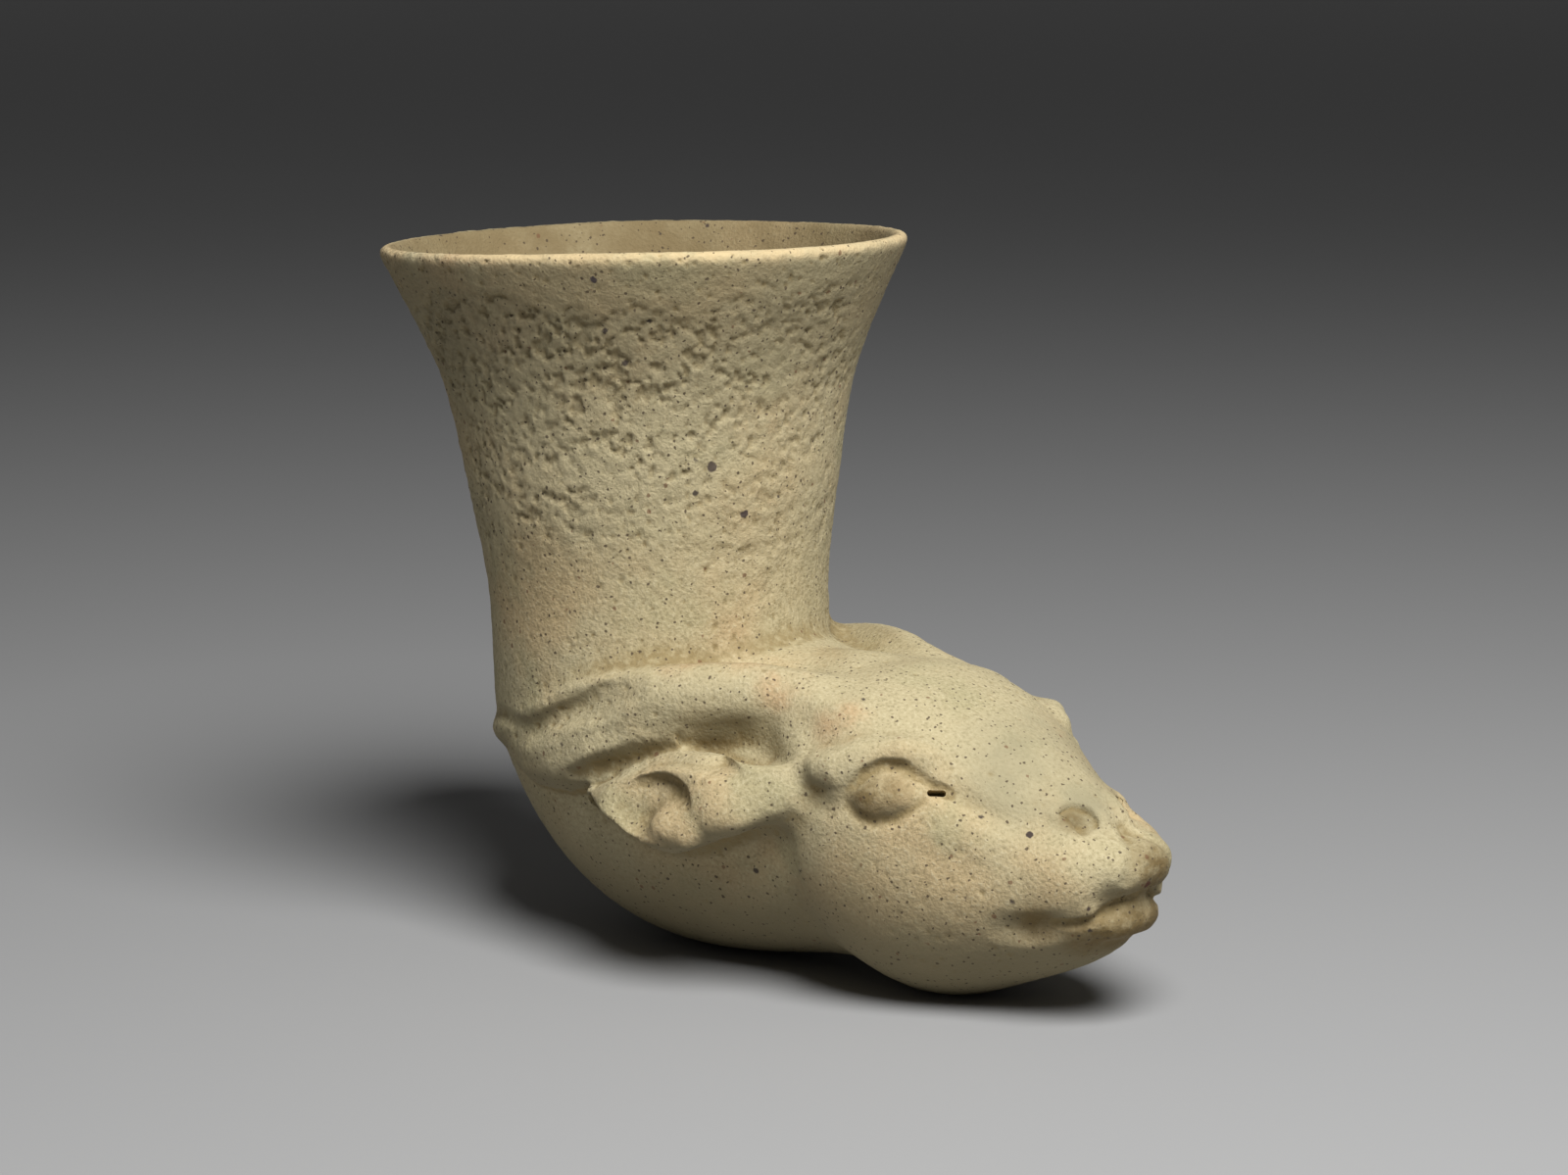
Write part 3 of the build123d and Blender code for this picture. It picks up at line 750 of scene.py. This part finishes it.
# painted highlight along the top of the rim, weaker on its inside
lip = ease(points[:, 2], cup["rim"], cup["rim"] + tints["rimHighlightBand"])
paint(whole, "lip", lip * (1 - tints["rimHighlightInside"] * inner))
paint(whole, "worn", worn)
# painted shade on skin that faces down, none inside the cup
paint(whole, "paintedShadeBelow", ease(-normals[:, 2], *tints["paintedShadeBelow"]) * (1 - inner))
print("clay painted")


# the clay is parted near where its pieces were luted together

seam = dict(
    beakerTilt=17.5,  # degrees that the join under the cup rises to the front
    neckX=42,
)


def parted(shape, place, towards):
    # cuts a closed shape along a plane and closes both cuts, with the far part first
    parts = []
    for far in (True, False):
        part = shape.copy()
        cut = bmesh.ops.bisect_plane(
            part, geom=part.verts[:] + part.edges[:] + part.faces[:],
            plane_co=Vector(place) * mm, plane_no=towards, clear_inner=far, clear_outer=not far)
        rim = [item for item in cut["geom_cut"] if isinstance(item, bmesh.types.BMEdge)]
        lid = bmesh.ops.triangle_fill(
            part, use_beauty=True, edges=rim, normal=Vector(towards) * (-1 if far else 1))
        for edge in rim:
            edge.smooth = False
        lidFaces = sum(isinstance(item, bmesh.types.BMFace) for item in lid["geom"])
        openEdges = sum(not edge.is_manifold for edge in part.edges)
        print("cut", len(rim), "edges,", lidFaces, "faces,", openEdges, "open")
        parts.append(part)
    shape.free()
    return parts


tilt = math.radians(seam["beakerTilt"])
clayShape = bmesh.new()
clayShape.from_mesh(whole)
beakerShape, lowerShape = parted(
    clayShape, (cup["axisX"], 0, cup["foot"]), (-math.sin(tilt), 0, math.cos(tilt)))
headShape, elbowShape = parted(lowerShape, (seam["neckX"], 0, 0), (1, 0, 0))

vent = dict(  # the slot at the corner of the right eye, that let steam out of the hollow head
    place=(73.6, -24.4, 48.9),
    inward=(-0.62, 0.70, -0.37),
    length=4.0,
    width=1.5,
    depth=12.0,
    overhang=4.0,  # mm that the cutter stands out of the skin
    roundSteps=8,  # sides of each round end
)


def ventCutter():
    # a flat-sided peg with round ends
    inward = Vector(vent["inward"]).normalized()
    across = inward.cross(Vector((0, 0, 1))).normalized()
    upward = across.cross(inward)
    flat = (vent["length"] - vent["width"]) / 2
    endRadius = vent["width"] / 2
    outline = []
    for end in (1, -1):
        for step in range(vent["roundSteps"] + 1):
            angle = math.radians(-90 + 180 / vent["roundSteps"] * step)
            outline.append((end * (flat + math.cos(angle) * endRadius), end * math.sin(angle) * endRadius))
    peg = bmesh.new()
    rings = []
    for along in (-vent["overhang"], vent["depth"]):
        middle = Vector(vent["place"]) + inward * along
        rings.append([peg.verts.new((middle + across * x + upward * z) * mm) for x, z in outline])
    outer, deep = rings
    peg.faces.new(outer)
    peg.faces.new(deep[::-1])
    for k in range(len(outline)):
        nxt = (k + 1) % len(outline)
        peg.faces.new([outer[nxt], outer[k], deep[k], deep[nxt]])
    bmesh.ops.recalc_face_normals(peg, faces=peg.faces)
    mesh = bpy.data.meshes.new("ventPeg")
    peg.to_mesh(mesh)
    peg.free()
    return bpy.data.objects.new("ventPeg", mesh)


def withVent(mesh):
    cutter = ventCutter()
    blank = bpy.data.objects.new("wetHead", mesh)
    for made in (cutter, blank):
        scene.collection.objects.link(made)
    hole = blank.modifiers.new("vent", "BOOLEAN")
    hole.operation = "DIFFERENCE"
    hole.solver = "MANIFOLD"
    hole.object = cutter
    graph = bpy.context.evaluated_depsgraph_get()
    result = bpy.data.meshes.new_from_object(blank.evaluated_get(graph), depsgraph=graph)
    for made in (cutter, blank):
        bpy.data.objects.remove(made)
    trimmed = bmesh.new()
    trimmed.from_mesh(result)
    # faces with many corners become fans, so that no two neighbours share the same triangle
    bmesh.ops.poke(trimmed, faces=[face for face in trimmed.faces if len(face.verts) > 4])
    trimmed.to_mesh(result)
    trimmed.free()
    return result


clayLook = clayMaterial(claySkin)


def paired(*names):
    return [f"{side}_{name}" for side in ("right", "left") for name in names]


clayPieces = dict(  # the shape of each piece, and the nodes that it stands for
    wornBeaker=(beakerShape, ["beaker"]),
    neckAndEars=(elbowShape, ["elbow"] + paired("horn", "ear", "ear_pellet")),
    head=(headShape, ["head_right", "head_left", "nose_pad", "lower_lip"] + paired("eye", "brow", "nostril")),
)
for name, (shape, nodes) in clayPieces.items():
    mesh = bpy.data.meshes.new(name)
    shape.to_mesh(mesh)
    shape.free()
    if name == "head":
        mesh = withVent(mesh)
    mesh.name = name
    mesh.materials.clear()
    mesh.materials.append(clayLook)
    piece = bpy.data.objects.new(name, mesh)
    scene.collection.objects.link(piece)
    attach(piece, "root")
    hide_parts(*nodes)
    print("piece:", name, len(mesh.vertices), "points")


# stage: a pale paper floor, and one large soft lamp above and to the right, whose light falls off behind

stage = dict(
    floorHalf=6.0,
    # painted light and shade: the paper's tone changes with distance to give the floor's falloff
    paper=[(0.9, "#a0a0a0"), (2.0, "#8e8e8e"), (4.6, "#c4c4c4")],  # distance in metres and tone
    paperRoughness=0.85,
    lampTurn=21.0,  # degrees to the right of the camera
    lampRise=52.0,
    lampAway=1.0,
    lampAim=0.07,  # height that it points at
    lampSide=0.6,
    lampWatts=15.2,
    skyStrength=0.06,
)

camera = dict(
    place=(616.8, -708.7, 248.9),
    turn=40.5,
    pitch=10.2,
    lens=100.0,
    sensor=36.0,
    farthest=30,  # metres, beyond the floor's far edge
)


def towardsAngle(turn, rise):
    # unit vector from the cup, turned to the right of the -Y axis and raised
    turn, rise = math.radians(turn), math.radians(rise)
    return Vector((math.sin(turn) * math.cos(rise), -math.cos(turn) * math.cos(rise), math.sin(rise)))


def buildStage():
    half = stage["floorHalf"]
    corners = [(-half, -half, 0), (half, -half, 0), (half, half, 0), (-half, half, 0)]
    sheet = bpy.data.meshes.new("floor")
    sheet.from_pydata(corners, [], [(0, 1, 2, 3)])
    floor = bpy.data.objects.new("floor", sheet)
    scene.collection.objects.link(floor)
    paper = bpy.data.materials.new("paleBackdropPaper")  # uncoated paper, which gives a matte tone; its tone is graded with distance, darker at 2 m and brighter far off, as painted light and shade
    paper.use_nodes = True
    tree = paper.node_tree
    shader = tree.nodes["Principled BSDF"]
    shader.inputs["Roughness"].default_value = stage["paperRoughness"]
    where = addNode(tree, "ShaderNodeTexCoord")
    away = addNode(tree, "ShaderNodeVectorMath", {"operation": "LENGTH"}, links={0: where.outputs["Object"]})
    far = addNode(
        tree, "ShaderNodeMapRange", values={"From Max": half}, links={"Value": away.outputs["Value"]})
    tint = addNode(tree, "ShaderNodeValToRGB", links={"Fac": far.outputs["Result"]})
    tint.color_ramp.interpolation = "B_SPLINE"
    stops = tint.color_ramp.elements
    stops.new(0.5)
    for stop, (reach, tone) in zip(stops, stage["paper"]):
        stop.position = reach / half
        stop.color = hexColour(tone)
    tree.links.new(tint.outputs["Color"], shader.inputs["Base Color"])
    floor.data.materials.append(paper)

    towards = towardsAngle(camera["turn"] + stage["lampTurn"], stage["lampRise"])
    key = bpy.data.lights.new("softLamp", "AREA")
    key.shape = "DISK"
    key.size = stage["lampSide"]
    key.energy = stage["lampWatts"]
    lamp = bpy.data.objects.new("softLamp", key)
    lamp.location = Vector((0, 0, stage["lampAim"])) + towards * stage["lampAway"]
    lamp.rotation_mode = "QUATERNION"
    lamp.rotation_quaternion = towards.to_track_quat("Z", "Y")
    scene.collection.objects.link(lamp)

    world = bpy.data.worlds.new("studio")
    world.use_nodes = True
    sky = world.node_tree.nodes["Background"]
    sky.inputs["Color"].default_value = hexColour("#ffffff")
    sky.inputs["Strength"].default_value = stage["skyStrength"]
    scene.world = world


def buildCamera():
    back = towardsAngle(camera["turn"], camera["pitch"])
    eye = bpy.data.cameras.new("camera")
    eye.lens = camera["lens"]
    eye.sensor_width = camera["sensor"]
    eye.clip_end = camera["farthest"]
    seen = bpy.data.objects.new("camera", eye)
    seen.location = Vector(camera["place"]) * mm
    seen.rotation_mode = "QUATERNION"
    seen.rotation_quaternion = (-back).to_track_quat("-Z", "Y")
    scene.collection.objects.link(seen)
    scene.camera = seen


buildStage()
buildCamera()
scene.view_settings.view_transform = "Standard"
print("stage and camera set")
